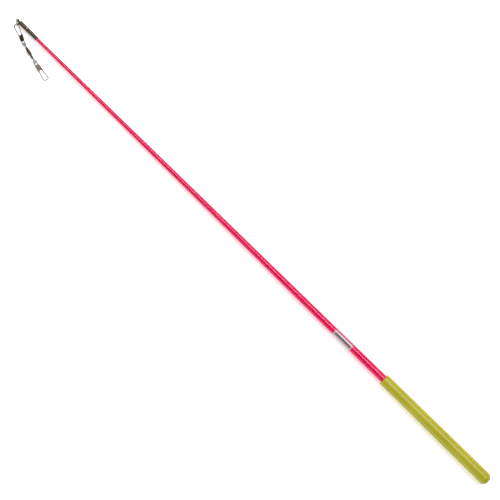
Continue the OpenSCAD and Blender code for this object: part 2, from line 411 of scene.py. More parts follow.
def girth(node, where, station):
    """Outer radius of a turned CAD node at its ring nearest to a station, in millimetres."""
    points = points_of(node, where)
    away = np.abs(points[:, 2] - station)
    ring = points[away < away.min() + 0.01]
    return float(np.hypot(ring[:, 0], ring[:, 1]).max())


# ---------------------------------------------------------------- shapes

def arc(centre, radii, start, end, steps):
    """Points of an elliptic arc, angles in degrees."""
    points = []
    for i in range(steps + 1):
        turn = math.radians(start + (end - start) * i / steps)
        points.append((
            centre[0] + radii[0] * math.cos(turn), centre[1] + radii[1] * math.sin(turn)
        ))
    return points


def rounded(corners, radius, steps=4):
    """An open outline whose inner corners are rounded by up to that radius."""
    outline = [Vector(corners[0])]
    for before, corner, after in zip(corners, corners[1:], corners[2:]):
        before, corner, after = Vector(before), Vector(corner), Vector(after)
        back, on = before - corner, after - corner
        cut = min(radius, back.length * 0.45, on.length * 0.45)
        start, end = corner + back.normalized() * cut, corner + on.normalized() * cut
        for i in range(steps + 1):
            t = i / steps
            outline.append((1 - t) ** 2 * start + 2 * t * (1 - t) * corner + t ** 2 * end)
    outline.append(Vector(corners[-1]))
    return outline


def turned(outline, segments=96):
    """Closed mesh of an outline of (radius, station) points turned about Z, pole to pole."""
    points, rings = [], []
    for radius, station in outline:
        if radius < 1e-6:
            rings.append([len(points)] * segments)
            points.append((0, 0, station))
            continue
        rings.append(range(len(points), len(points) + segments))
        for i in range(segments):
            turn = 2 * math.pi * i / segments
            points.append((radius * math.cos(turn), radius * math.sin(turn), station))
    faces = []
    for lower, upper in zip(rings, rings[1:]):
        for i in range(segments):
            j = (i + 1) % segments
            corners = dict.fromkeys((lower[i], lower[j], upper[j], upper[i]))
            if len(corners) > 2:
                faces.append(tuple(corners))
    return mesh_of(points, faces)


def mesh_of(points, faces, edges=()):
    """Plain mesh of points, faces and loose edges."""
    mesh = bpy.data.meshes.new("shape")
    mesh.from_pydata([tuple(point) for point in points], edges, faces)
    mesh.validate()
    return mesh


def with_modifiers(mesh, *modifiers):
    """Mesh after a row of (type, settings) modifiers."""
    carrier = bpy.data.objects.new("carrier", mesh)
    bpy.context.scene.collection.objects.link(carrier)
    for kind, settings in modifiers:
        modifier = carrier.modifiers.new(kind.lower(), kind)
        for name, value in settings.items():
            setattr(modifier, name, value)
    return settled(carrier)


def piece(name, meshes, where, finish, body, slot, *nodes):
    """One finished object out of meshes in one place; it rides on a body and stands for CAD nodes."""
    points, faces = [], []
    for mesh in meshes:
        first = len(points)
        points += [where @ vertex.co for vertex in mesh.vertices]
        faces += [tuple(first + i for i in polygon.vertices) for polygon in mesh.polygons]
    mesh = mesh_of(points, faces)
    mesh.name = name
    mesh.materials.append(finish.material)
    mesh.shade_smooth()
    mesh.set_sharp_from_angle(angle=SHARP_EDGE)
    made = bpy.data.objects.new(name, mesh)
    bpy.context.scene.collection.objects.link(made)
    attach(made, body)
    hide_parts(*nodes)
    return made


def direction(degrees):
    """Level unit vector at an angle."""
    turn = math.radians(degrees)
    return Vector((math.cos(turn), math.sin(turn), 0))


def formed_path(start, heading, steps, fineness=7.5):
    """Centreline of a wire bent step by step: each step a straight run, a bend radius and its angle."""
    point = Vector((*start, 0))
    path = [point]
    for run, radius, turn in steps:
        point = point + run * direction(heading)
        if run:
            path.append(point)
        side = 90 if turn > 0 else -90
        centre = point + radius * direction(heading + side)
        count = math.ceil(abs(turn) / fineness)
        for i in range(1, count + 1):
            path.append(centre - radius * direction(heading + side + turn * i / count))
        point = path[-1]
        heading += turn
    return path


def cut_ends(path, radius, edge=0.1):
    """Path and relative thickness of a wire whose two cut ends are slightly rounded."""
    head = (path[1] - path[0]).normalized()
    tail = (path[-2] - path[-1]).normalized()
    steps = [(0, radius - edge), (0.3 * edge, radius - 0.3 * edge), (edge, radius)]
    points = [path[0] + head * away for away, _ in steps]
    points += path[1:-1]
    points += [path[-1] + tail * away for away, _ in reversed(steps)]
    thickness = [r / radius for _, r in steps]
    thickness += [1.0] * (len(path) - 2)
    thickness += [r / radius for _, r in reversed(steps)]
    return points, thickness


def wire(points, thickness, radius, finish, sides=24):
    """Mesh of a wire along points, made by the wire recipe."""
    line = mesh_of(points, (), [(i, i + 1) for i in range(len(points) - 1)])
    line.attributes.new("thickness", "FLOAT", "POINT").data.foreach_set("value", thickness)
    return grow(wire_recipe(), line, {
        "Radius": radius, "Sides": sides, "Material": finish.material
    })


# ---------------------------------------------------------------- recipes

@functools.cache
def wire_recipe():
    """Round wire along a line of points, as thick as its thickness attribute says."""
    recipe = Recipe("Formed wire", {"Radius": 0.4, "Sides": 24})
    line = recipe.node("GeometryNodeMeshToCurve", None, {"Mesh": recipe.given("Geometry")})
    section = recipe.node("GeometryNodeCurvePrimitiveCircle", None, {
        "Resolution": recipe.given("Sides"), "Radius": recipe.given("Radius")
    })
    thickness = recipe.node(
        "GeometryNodeInputNamedAttribute", {"data_type": "FLOAT"}, {"Name": "thickness"}
    )
    swept = recipe.node("GeometryNodeCurveToMesh", None, {
        "Curve": line, "Profile Curve": section, "Scale": thickness, "Fill Caps": True
    })
    recipe.close(swept)
    return recipe


@functools.cache
def patch_recipe():
    """A row of patches that lie on a tapered rod, square to its length."""
    recipe = Recipe("Patches on a rod", {
        "Count": 1, "Start": 0.0, "Pitch": 1.0, "Length": 1.0, "Arc": 1.0, "Turn": 0.0,
        "Radius": 4.0, "Taper": 0.0, "Columns": 9, "Rows": 33
    })
    given = recipe.given
    first = recipe.node("ShaderNodeCombineXYZ", None, {
        "X": given("Start") + given("Length") / 2, "Y": given("Turn")
    })
    step = recipe.node("ShaderNodeCombineXYZ", None, {"X": given("Pitch")})
    row = recipe.node("GeometryNodeMeshLine", None, {
        "Count": given("Count"), "Start Location": first, "Offset": step
    })
    patch = recipe.node("GeometryNodeMeshGrid", None, {
        "Size X": given("Length"), "Size Y": given("Arc"),
        "Vertices X": given("Columns"), "Vertices Y": given("Rows")
    })
    flat = recipe.node("GeometryNodeRealizeInstances", None, {
        "Geometry": recipe.node("GeometryNodeInstanceOnPoints", None, {"Points": row, "Instance": patch})
    })
    along = recipe.node("ShaderNodeSeparateXYZ", None, {
        "Vector": recipe.node("GeometryNodeInputPosition")
    })
    station, turn = along, along.other("Y")
    radius = given("Radius") - given("Taper") * station
    wrapped = recipe.node("ShaderNodeCombineXYZ", None, {
        "X": radius * recipe.math("COSINE", turn), "Y": radius * recipe.math("SINE", turn), "Z": station
    })
    recipe.close(recipe.node("GeometryNodeSetPosition", None, {"Geometry": flat, "Position": wrapped}))
    return recipe


def rivet_recipe():
    """The source head at both ends of a rivet, each facing outwards along Z."""
    recipe = Recipe("Rivet heads", {"Spacing": 1.0})
    half = recipe.given("Spacing") / 2
    ends = recipe.node("GeometryNodeMeshLine", {"mode": "END_POINTS"}, {
        "Count": 2,
        "Start Location": recipe.node("ShaderNodeCombineXYZ", None, {"Z": half}),
        "Offset": recipe.node("ShaderNodeCombineXYZ", None, {"Z": half * -1})
    })
    flip = recipe.node("GeometryNodeInputIndex") * math.pi
    turn = recipe.node("FunctionNodeEulerToRotation", None, {
        "Euler": recipe.node("ShaderNodeCombineXYZ", None, {"X": flip})
    })
    recipe.close(recipe.node("GeometryNodeInstanceOnPoints", None, {
        "Points": ends, "Instance": recipe.given("Geometry"), "Rotation": turn
    }))
    return recipe


# ---------------------------------------------------------------- materials

def rod_finish():
    """Hot pink lacquer over glass fibre."""
    tone = (*wand_settings().rod_colour, 1)
    finish = Finish("rod_lacquer", {
        "IOR": 1.5, "Coat Weight": 0.1, "Coat Roughness": 0.04, "Coat IOR": 1.5
    })
    fibres = finish.noise(1.2, (0.02, 1, 1), 3)
    clouds = finish.noise(9, (0.3, 1, 1))
    deep = tuple(channel * 0.80 for channel in tone[:3])
    shade = finish.ramp(fibres * 0.6 + clouds * 0.4, [(0.30, 0), (0.70, 1)])
    finish.paint("Base Color", finish.blend(shade, (*deep, 1), tone))
    scuffs = finish.ramp(finish.noise(1.5, (0.1, 1, 1), 4), [(0.60, 0), (0.75, 1)])
    finish.paint("Roughness", scuffs * 0.06 + 0.12)
    finish.bump(finish.noise(6, (0.3, 1, 1)), 0.008)
    return finish


def grip_finish():
    """Moulded yellow-green rubber with a fine grain and a mould line on each side."""
    tone = (*wand_settings().grip_colour, 1)
    finish = Finish("grip_rubber", {"IOR": 1.5, "Sheen Weight": 0.15, "Sheen Roughness": 0.4})
    patches = finish.noise(14, (0.6, 1, 1), 3)
    pale = tuple(min(1, channel * 1.10 + 0.012) for channel in tone[:3])
    shade = finish.ramp(patches, [(0.35, 0), (0.65, 1)])
    finish.paint("Base Color", finish.blend(shade, tone, (*pale, 1)))
    grain = finish.noise(0.35, detail=3)
    finish.paint("Roughness", patches * 0.10 + grain * 0.08 + 0.24)
    low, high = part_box("grip_sleeve")
    middle = (low.z + high.z) / 2
    level = finish.node("ShaderNodeSeparateXYZ", None, {"Vector": finish.coordinates()}).other("Z")
    seam_half_width = 0.07
    seam = abs(level - middle) < seam_half_width * MM
    finish.bump(grain * 0.6 + finish.noise(1.8) * 0.4 + seam, 0.030)
    return finish


def foil_finish():
    """Pale silver foil, slightly crinkled."""
    tone = (*wand_settings().label_colour, 1)
    finish = Finish("label_foil", {"IOR": 1.45, "Metallic": 0.35})
    crinkle = finish.noise(1.5, detail=3)
    dull = tuple(channel * 0.82 for channel in tone[:3])
    finish.paint("Base Color", finish.blend(crinkle, (*dull, 1), tone))
    finish.paint("Roughness", crinkle * 0.2 + 0.28)
    finish.bump(crinkle, 0.03)
    return finish


def ink_finish():
    """Matt grey print on the label."""
    tone = (*wand_settings().ink_colour, 1)
    finish = Finish("label_ink", {"IOR": 1.45})
    speckle = finish.noise(0.25, detail=2)
    pale = tuple(channel * 1.5 for channel in tone[:3])
    shade = finish.ramp(speckle, [(0.5, 0), (0.75, 1)])
    finish.paint("Base Color", finish.blend(shade, tone, (*pale, 1)))
    finish.paint("Roughness", speckle * 0.15 + 0.5)
    finish.bump(speckle, 0.006)
    return finish


def nickel_finish():
    """Dark plating, worn a little lighter in blotches and finely scratched."""
    tone = (*metal_settings().nickel_colour, 1)
    finish = Finish("dark_nickel", {"Metallic": 1.0})
    wear = finish.ramp(finish.noise(1.1, detail=4), [(0.50, 0), (0.72, 1)])
    worn = tuple(min(1, channel * 1.7 + 0.02) for channel in tone[:3])
    finish.paint("Base Color", finish.blend(wear, tone, (*worn, 1)))
    scratches = finish.noise(0.25, (0.15, 1, 1), 3)
    finish.paint("Roughness", scratches * 0.16 + wear * 0.08 + 0.34)
    finish.bump(scratches * 0.5 + finish.noise(0.5) * 0.5, 0.006)
    return finish


def steel_finish():
    """Drawn wire, gone a little dull."""
    return drawn_metal("drawn_steel", metal_settings().steel_colour)


def rivet_finish():
    """Polished metal of the rivet."""
    return drawn_metal("polished_steel", metal_settings().rivet_colour)


def drawn_metal(name, colour_of_metal):
    """Metal with fine lines along it and dull blotches."""
    tone = (*colour_of_metal, 1)
    finish = Finish(name, {"Metallic": 1.0})
    tarnish = finish.ramp(finish.noise(0.9, detail=4), [(0.55, 0), (0.80, 1)])
    dull = tuple(channel * 0.6 for channel in tone[:3])
    finish.paint("Base Color", finish.blend(tarnish, tone, (*dull, 1)))
    drawn = finish.noise(0.2, (0.2, 0.6, 1), 3)
    finish.paint("Roughness", drawn * 0.15 + tarnish * 0.12 + 0.15)
    finish.bump(drawn, 0.005)
    return finish


def floor_finish():
    """Smooth pale paper."""
    tone = (*stage_settings().floor_colour, 1)
    finish = Finish("pale_paper", {
        "Roughness": 0.9, "Specular IOR Level": 0.1,
        "Emission Color": (1, 1, 1, 1), "Emission Strength": stage_settings().floor_glow
    })
    fibre = finish.noise(3, detail=3)
    finish.paint("Base Color", finish.blend(fibre * 0.01, tone, (1, 1, 1, 1)))
    return finish


MAKERS = {
    "rod": rod_finish, "grip": grip_finish, "foil": foil_finish, "ink": ink_finish,
    "nickel": nickel_finish, "steel": steel_finish, "rivet": rivet_finish, "floor": floor_finish,
}


@functools.cache
def finish_of(name):
    """The material of that name, made the first time it is asked for."""
    return MAKERS[name]()


def wand_settings():
    """Settings of the rod, grip and label."""
    return bpy.context.scene.ribbon_wand


def metal_settings():
    """Settings of the metal parts."""
    return bpy.context.scene.ribbon_wand_metal


def stage_settings():
    """Settings of the camera, floor and lights."""
    return bpy.context.scene.ribbon_wand_stage


# ---------------------------------------------------------------- pieces

class RIBBONWAND_OT_rod(bpy.types.Operator):
    """Build the tapered rod"""

    bl_idname = "ribbon_wand.rod"
    bl_label = "Rod"

    def execute(self, context):
        where = wand_place()
        low, high = reach("shaft", where)
        thick, thin = girth("shaft", where, low.z), girth("shaft", where, high.z)
        stretches = 120
        outline = [(0, low.z)]
        for i in range(stretches + 1):
            part = i / stretches
            outline.append((thick + (thin - thick) * part, low.z + (high.z - low.z) * part))
        outline.append((0, high.z))
        piece("rod", [turned(outline)], where, finish_of("rod"), "wand", "rod_gloss", "shaft")
        return {"FINISHED"}


class RIBBONWAND_OT_grip(bpy.types.Operator):
    """Build the rubber grip with its domed butt and rounded front rim"""

    bl_idname = "ribbon_wand.grip"
    bl_label = "Grip"

    def execute(self, context):
        sizes = wand_settings()
        where = wand_place()
        low, high = reach("grip_sleeve", where)
        rod_low, rod_high = reach("shaft", where)
        butt = (high.y - low.y) / 2
        dome, rim = sizes.grip_dome / MM, sizes.grip_rim / MM
        front = girth("grip_sleeve", where, high.z - rim)
        bore = girth("shaft", where, rod_low.z)
        slope = (bore - girth("shaft", where, rod_high.z)) / (rod_high.z - rod_low.z)
        straight = sizes.grip_straight / MM
        outline = arc((0, dome), (butt, dome), -90, 0, 16)
        taper_end = high.z - rim
        stretches = 24
        for i in range(stretches + 1):
            part = i / stretches
            outline.append((butt + (front - butt) * part, straight + (taper_end - straight) * part))
        outline += arc((front - rim, high.z - rim), (rim, rim), 0, 90, 8)[1:]
        outline += [(bore - slope * (high.z - rod_low.z), high.z), (bore, rod_low.z), (0, rod_low.z)]
        piece(
            "grip", [turned(outline, 128)], where, finish_of("grip"),
            "wand", "grip_rubber", "grip_sleeve"
        )
        return {"FINISHED"}


class RIBBONWAND_OT_label(bpy.types.Operator):
    """Build the foil label and the plain bars printed on it"""

    bl_idname = "ribbon_wand.label"
    bl_label = "Label"

    def execute(self, context):
        sizes = wand_settings()
        where = wand_place()
        low, high = reach("label_band", where)
        foil = 0.12
        ink = 0.02
        near = girth("label_band", where, low.z) - foil
        far = girth("label_band", where, high.z) - foil
        taper = (near - far) / (high.z - low.z)
        start, end = label_edges([math.atan2(y, x) for x, y, _ in points_of("label_band", where)])
        sheet = {
            "Count": 1, "Start": low.z, "Length": high.z - low.z, "Arc": end - start,
            "Turn": (start + end) / 2, "Radius": near + taper * low.z, "Taper": taper,
            "Columns": 25, "Rows": 65, "Material": finish_of("foil").material
        }
        blank = mesh_of([(0, 0, 0)], ())
        wrap = with_modifiers(grow(patch_recipe(), blank.copy(), sheet), (
            "SOLIDIFY", {"thickness": foil, "offset": 1}
        ))
        piece("label", [wrap], where, finish_of("foil"), "wand", "label_foil", "label_band")
        bar = sizes.bar_length / MM
        pitch = (high.z - low.z - 2 * bar) / sizes.bar_count
        print_row = dict(
            sheet, Count=sizes.bar_count, Start=low.z + bar + (pitch - bar) / 2, Pitch=pitch,
            Length=bar, Arc=sizes.bar_arc, Turn=sizes.bar_turn,
            Radius=sheet["Radius"] + foil + ink / 2, Columns=4, Rows=17,
            Material=finish_of("ink").material
        )
        bars = with_modifiers(grow(patch_recipe(), blank, print_row), (
            "SOLIDIFY", {"thickness": ink, "offset": 1}
        ))
        piece("label_bars", [bars], where, finish_of("ink"), "wand", "label_foil")
        return {"FINISHED"}


def label_edges(turns):
    """Where a label starts and ends round the rod, on either side of its widest gap."""
    turns = sorted(turns)
    gaps = [(after - before, after) for before, after in zip(turns, turns[1:])]
    widest, start = max(gaps)
    if 2 * math.pi - (turns[-1] - turns[0]) > widest:
        return turns[0], turns[-1]
    return start - 2 * math.pi, start - widest


class RIBBONWAND_OT_ferrule(bpy.types.Operator):
    """Build the crimped sleeve, the swivel housing and the rivet through them"""

    bl_idname = "ribbon_wand.ferrule"
    bl_label = "Ferrule"

    def execute(self, context):
        where = wand_place()
        nickel = finish_of("nickel")
        piece(
            "crimp_sleeve", [turned(sleeve_outline(where))], where, nickel,
            "wand", "dark_nickel", "ferrule_sleeve"
        )
        piece(
            "housing", [turned(housing_outline(where))], where, nickel,
            "wand", "dark_nickel", "swivel_housing"
        )
        build_rivet(where)
        washer = frame["nodes"]["swivel_washer"].data
        washer.materials.clear()
        washer.materials.append(finish_of("steel").material)
        return {"FINISHED"}


def sleeve_outline(where):
    """Half section of the sleeve, with its rolled grooves near the rod's side."""
    metal = metal_settings()
    low, high = reach("ferrule_sleeve", where)
    outer = (high.y - low.y) / 2
    bore_back, bore_front = rod_radius(where, low.z), rod_radius(where, high.z)
    back_edge = (0.12, 0.3)
    front_edge = (0.1, 0.15)
    corners = [
        (bore_front, high.z), (bore_back, low.z),
        (outer - back_edge[0], low.z), (outer, low.z + back_edge[1])
    ]
    start, pitch, depth = metal.crimp_start / MM, metal.crimp_pitch / MM, metal.crimp_depth / MM
    half_mouth, half_floor = 0.5, 0.15
    for i in range(metal.crimp_count):
        middle = low.z + start + i * pitch
        corners += [
            (outer, middle - half_mouth), (outer - depth, middle - half_floor),
            (outer - depth, middle + half_floor), (outer, middle + half_mouth)
        ]
    corners += [
        (outer, high.z - front_edge[1]), (outer - front_edge[0], high.z), (bore_front, high.z)
    ]
    softening = 0.15
    return rounded(corners, softening)


def rod_radius(where, station):
    """Radius of the rod at a station, just inside the metal round it."""
    low, high = reach("shaft", where)
    thick, thin = girth("shaft", where, low.z), girth("shaft", where, high.z)
    return thick + (thin - thick) * (station - low.z) / (high.z - low.z)


def housing_outline(where):
    """Half section of the housing: rod socket, wall, swivel chamber and nose."""
    metal = metal_settings()
    low, high = reach("swivel_housing", where)
    _, rod_high = reach("shaft", where)
    flange_low, _ = reach("tip_swivel", where)
    outer = (high.y - low.y) / 2
    neck = metal.neck_radius / MM + 0.05
    wall, chamber = 1.1, 1.42
    socket_end = rod_high.z + 0.02
    chamber_start = (socket_end + flange_low.z) / 2
    back_edge = (0.12, 0.25)
    front_edge = (0.55, 0.6)
    groove_start, groove_end = low.z + 3.6, low.z + 4.2
    groove_depth, groove_side = 0.14, 0.15
    mouth, mouth_step, mouth_depth = neck + 0.35, neck + 0.2, 0.12
    corners = [
        (0, socket_end), (rod_radius(where, rod_high.z), socket_end),
        (rod_radius(where, low.z), low.z),
        (outer - back_edge[0], low.z), (outer, low.z + back_edge[1]),
        (outer, groove_start), (outer - groove_depth, groove_start + groove_side),
        (outer - groove_depth, groove_end - groove_side), (outer, groove_end),
        (outer, high.z - front_edge[1]), (outer - front_edge[0], high.z),
        (mouth, high.z), (mouth_step, high.z - mouth_depth), (neck, high.z - mouth_depth),
        (neck, high.z - wall), (chamber, high.z - wall), (chamber, chamber_start), (0, chamber_start)
    ]
    softening = 0.3
    return rounded(corners, softening)


def build_rivet(where):
    """Rivet across the housing, with a domed head at each end."""
    points = [Vector(point) for point in points_of("cross_rivet", where)]
    centre = sum(points, Vector()) / len(points)
    far = max(points, key=lambda point: (point - centre).length)
    head_reach = 1.2
    spread = [point for point in points if (point - far).length < head_reach]
    axis = sum(spread, Vector()) / len(spread) - centre
    axis.z = 0
    axis.normalize()
    half = max((point - centre).dot(axis) for point in points)
    forward = Vector((0, 0, 1))
    turn = Matrix((forward.cross(axis), forward, axis)).transposed().to_4x4()
    rivet_place = where @ Matrix.Translation(centre) @ turn
    wide, crown, skirt = 0.7, 0.2, 0.4
    dome = arc((0, -crown), (wide, crown), 0, 90, 8)[1:-1]
    head = turned([(0, -skirt), (wide, -skirt), (wide, -crown), *dome, (0, 0)], 48)
    bright = finish_of("rivet")
    heads = grow(rivet_recipe(), head, {"Spacing": 2 * half, "Material": bright.material})
    thin, end = 0.45, half - 0.3
    shank = turned([(0, -end), (thin, -end), (thin, end), (0, end)], 32)
    piece("rivet", [heads, shank], rivet_place, bright, "wand", "bright_steel", "cross_rivet")


class RIBBONWAND_OT_tip(bpy.types.Operator):
    """Build the turning knob and the split jump ring through it"""

    bl_idname = "ribbon_wand.tip"
    bl_label = "Knob and ring"

    def execute(self, context):
        build_knob()
        build_ring()
        return {"FINISHED"}


def build_knob():
    """Ball knob with two flats and a cross hole, on a neck that ends in the hidden flange."""
    metal = metal_settings()
    where = knob_place()
    low, _ = reach("tip_swivel", where)
    ball, neck = metal.knob_radius / MM, metal.neck_radius / MM
    start = math.degrees(math.asin(neck / ball))
    flange, flange_top = 1.3, low.z + 0.7
    outline = [(0, low.z), (flange, low.z), (flange, flange_top), (neck, flange_top)]
    outline += arc((0, 0), (ball, ball), start - 90, 90, 40)
    outline[-1] = (0, ball)
    body = turned(outline, 96)
    hole = metal.knob_hole / MM
    flat = metal.knob_flat / MM
    flare, past, clear = 0.3, 2, 0.02
    mouth = hole + flare
    rim = mouth + 0.6
    bit = [
        (0, -past), (rim, -past), (mouth, -flat - clear), (hole, flare - flat),
        (hole, flat - flare), (mouth, flat + clear), (rim, past), (0, past)
    ]
    drill = turned(rounded(bit, 0.4), 48)
    sideways = Matrix.Rotation(math.pi / 2, 4, "Y")
    drill.transform(sideways)
    cutters = [drill]
    for side in (-1, 1):
        block = turned([(0, -1), (3, -1), (3, 1), (0, 1)], 48)
        block.transform(Matrix.Translation((side * (flat + 1), 0, 0)) @ sideways)
        cutters.append(block)
    soft = with_modifiers(
        cut(body, cutters),
        ("REMESH", {"mode": "VOXEL", "voxel_size": 0.045}),
        ("SMOOTH", {"factor": 0.5, "iterations": 6}),
    )
    piece("knob", [soft], where, finish_of("nickel"), "tip_swivel", "dark_nickel", "tip_swivel")


def cut(mesh, cutters):
    """Mesh with every cutter taken away from it."""
    for cutter in cutters:
        tool = bpy.data.objects.new("cutter", cutter)
        bpy.context.scene.collection.objects.link(tool)
        mesh = with_modifiers(mesh, (
            "BOOLEAN", {"operation": "DIFFERENCE", "object": tool, "solver": "EXACT"}
        ))
        bpy.data.objects.remove(tool)
    return mesh


def build_ring():
    """Jump ring bent from wire, its two ends meeting at a narrow split."""
    where = ring_place()
    low, high = reach("tip_ring", where)
    radius = (high.z - low.z) / 2
    middle = (high.x - low.x) / 2 - radius
    split = math.degrees(metal_settings().ring_split)
    first = 75
    start = middle * direction(first + split / 2)
    path = formed_path(start.xy, first + split / 2 + 90, [(0, middle, 360 - split)])
    steel = finish_of("steel")
    ring = wire(*cut_ends(path, radius), radius, steel)
    piece("jump_ring", [ring], where, steel, "tip_ring", "bright_steel", "tip_ring")


class RIBBONWAND_OT_snaps(bpy.types.Operator):
    """Build the two snaps: formed wire, folded plate and sprung gate each"""

    bl_idname = "ribbon_wand.snaps"
    bl_label = "Snaps"

    def execute(self, context):
        for side in ("upper", "lower"):
            build_snap(side)
        return {"FINISHED"}


def build_snap(side):
    """One snap: its fixed wire, its sprung gate and its plate."""
    metal = metal_settings()
    where = snap_place(side)
    low, high = reach(side + "_snap_gate", where)
    radius = (high.z - low.z) / 2
    neck = Vector((metal.snap_neck / MM, metal.snap_half_neck / MM))
    shoulder = Vector((metal.snap_shoulder / MM, metal.snap_half_width / MM))
    corner = metal.snap_corner / MM
    leg = shoulder - neck
    slope = math.degrees(math.atan2(leg.y, leg.x))
    steel = finish_of("steel")
    front = high.x - radius
    split = low.y
    wire_low, _ = reach(side + "_snap_wire", where)
    eye = -wire_low.x - radius
    fixed = formed_path(*snap_wire_steps(neck, slope, leg, corner, eye, split))
    piece(
        side + "_snap_wire_piece", [wire(*cut_ends(fixed, radius), radius, steel)], where, steel,
        side + "_snap", "bright_steel", side + "_snap_wire"
    )
    lean = math.radians(slope)
    corner_y = shoulder.y - corner * math.cos(lean)
    tail = (shoulder.x - low.x) / math.cos(lean) - radius * math.tan(lean)
    sprung = formed_path((front, split), 90, [(corner_y - split, corner, 90 + slope), (tail, 0, 0)])
    piece(
        side + "_snap_gate_piece", [wire(*cut_ends(sprung, radius), radius, steel)], where, steel,
        side + "_gate", "bright_steel", side + "_snap_gate"
    )
    piece(
        side + "_snap_plate_piece", [plate_mesh(side, where, neck, slope)], where,
        finish_of("nickel"), side + "_snap", "dark_nickel", side + "_snap_plate"
    )


def snap_wire_steps(neck, slope, leg, corner, eye, split):
    """Start, heading and bends of the fixed wire: tail, eye, back leg, far corner and nose."""
    tail_x, flare_radius = 5.2, 1.0
    rise = math.tan(math.radians(slope))
    tangent = math.sqrt(neck.length_squared - eye ** 2)
    flare = math.degrees(math.asin(eye / neck.length) - math.atan2(neck.y, neck.x)) + slope
    trim = flare_radius * math.tan(math.radians(flare / 2))
    tail_run = (tail_x - neck.x) / math.cos(math.radians(slope))
    corner_y = neck.y + leg.y - corner * math.cos(math.radians(slope))
    start = (tail_x, neck.y + (tail_x - neck.x) * rise)
    return start, 180 + slope, [
        (tail_run - trim, flare_radius, -flare),
        (tangent - trim, eye, 180 + 2 * (flare - slope)),
        (tangent - trim, flare_radius, -flare),
        (leg.length - trim, corner, 90 + slope),
        (corner_y + split - 0.05, 0, 0)
    ]


def plate_mesh(side, where, neck, slope):
    """Sheet folded round both legs, its edges meeting under the plate, cut open over the gate's tail."""
    metal = metal_settings()
    low, high = reach(side + "_snap_plate", where)
    sheet, notch = metal.plate_sheet / MM, metal.plate_notch / MM
    half = (high.z - low.z) / 2 - sheet / 2
    rise = math.tan(math.radians(slope))
    channel, lip = 5.55, 0.85
    fold = 0.42
    steps = PLATE_COLUMNS
    columns = [low.x + (channel - low.x) * i / steps for i in range(steps + 1)]
    columns += [channel + (high.x - channel) * i / steps for i in range(1, steps + 1)]
    rows = []
    for x in columns:
        width = neck.y + (x - neck.x) * rise + half
        part = max(0, (x - channel) / (high.x - channel))
        row = []
        for y, z in plate_section(width, half, fold, lip):
            bite = notch * max(0, 1 - abs(y)) * part
            row.append((x - bite, y, z))
        rows.append(row)
    count = len(rows[0])
    opening = plate_opening()
    points = [point for row in rows for point in row]
    faces = []
    for i in range(len(rows) - 1):
        for j in range(count - 1):
            if i >= steps and j in opening:
                continue
            a = i * count + j
            faces.append((a, a + 1, a + count + 1, a + count))
    edges = {
        "width": 0.05, "segments": 2, "limit_method": "ANGLE", "angle_limit": math.radians(50)
    }
    return with_modifiers(
        mesh_of(points, faces),
        ("SOLIDIFY", {"thickness": sheet, "offset": 0, "use_even_offset": True}),
        ("BEVEL", edges),
    )


def plate_section(width, half, fold, lip):
    """Section of the folded sheet from the seam below, up the far side, over the top and back."""
    seam = 0.05
    flat = width - fold
    steps = PLATE_FLAT_STEPS

    def line(start, end, count):
        """Even steps towards an end, without the start."""
        return [start + (end - start) * i / count for i in range(1, count + 1)]

    section = [(-seam, -half)] + [(y, -half) for y in line(-seam, -flat, steps)]
    section += arc((-flat, fold - half), (fold, fold), 270, 180, PLATE_FOLD_STEPS)[1:]
    section += [(-width, 0), (-width, half - fold)]
    section += arc((-flat, half - fold), (fold, fold), 180, 90, PLATE_FOLD_STEPS)[1:]
    section += [(y, half) for y in line(-flat, lip, 2 * steps)]
    section += [(y, half) for y in line(lip, flat, PLATE_LIP_STEPS)]
    section += arc((flat, half - fold), (fold, fold), 90, 0, PLATE_FOLD_STEPS)[1:]
    section += [(width, 0), (width, fold - half)]
    section += arc((flat, fold - half), (fold, fold), 360, 270, PLATE_FOLD_STEPS)[1:]
    section += [(y, -half) for y in line(flat, seam, steps)]
    return section


def plate_opening():
    """Strips of the section between the lip on top and the middle of the gate's side."""
    lip = 3 * PLATE_FLAT_STEPS + 2 * PLATE_FOLD_STEPS + PLATE_SIDE_STEPS
    return range(lip, lip + PLATE_LIP_STEPS + PLATE_FOLD_STEPS + 1)


class RIBBONWAND_OT_swivel(bpy.types.Operator):
    """Build the barrel swivel and its two eyes"""

    bl_idname = "ribbon_wand.swivel"
    bl_label = "Barrel swivel"

    def execute(self, context):
        nickel = finish_of("nickel")
        where = barrel_place()
        barrel = turned(barrel_outline(where))
        piece("barrel_shell", [barrel], where, nickel, "barrel", "dark_nickel", "swivel_barrel")
        along = joint_axis("barrel_spin")
        upper_centre = joint_point("barrel_spin")
        upper_low, upper_high = reach("swivel_eye_upper", where)
        lower_low, lower_high = reach("swivel_eye_lower", where)
        upper_bead, lower_bead = 0.95, 0.7
        spacing = lower_high.z + upper_low.z
        build_eye("upper", upper_centre, along, upper_high.z, upper_bead)
        lower_centre = upper_centre + along * spacing * MM
        build_eye("lower", lower_centre, -along, spacing - lower_low.z, lower_bead)
        return {"FINISHED"}


def barrel_outline(where):
    """Half section of the barrel: rolled lip, fat lobe, waist and small lobe, with its bore."""
    low, high = reach("swivel_barrel", where)
    fat = (high.y - low.y) / 2
    bore, step = 0.55, 0.3
    lip = [
        (bore, low.z + step), (bore, low.z), (0.9, low.z), (1.02, low.z + 0.25), (1.0, low.z + 0.8)
    ]
    belly, belly_reach = low.z + 5.05, 4.6
    waist = (0.85, belly + 3.95)
    lobe, lobe_reach = (0.55, high.z - 1.7), (0.5, 1.3)
    end = [(0.78, high.z - 0.4), (0.75, high.z), (bore, high.z), (bore, high.z - step)]
    return [
        *rounded(lip, 0.15),
        *arc((0, belly), (fat, belly_reach), -50, 55, 28),
        waist,
        *arc(lobe, lobe_reach, -60, 60, 14),
        *rounded(end, 0.12),
        (bore, low.z + step),
    ]


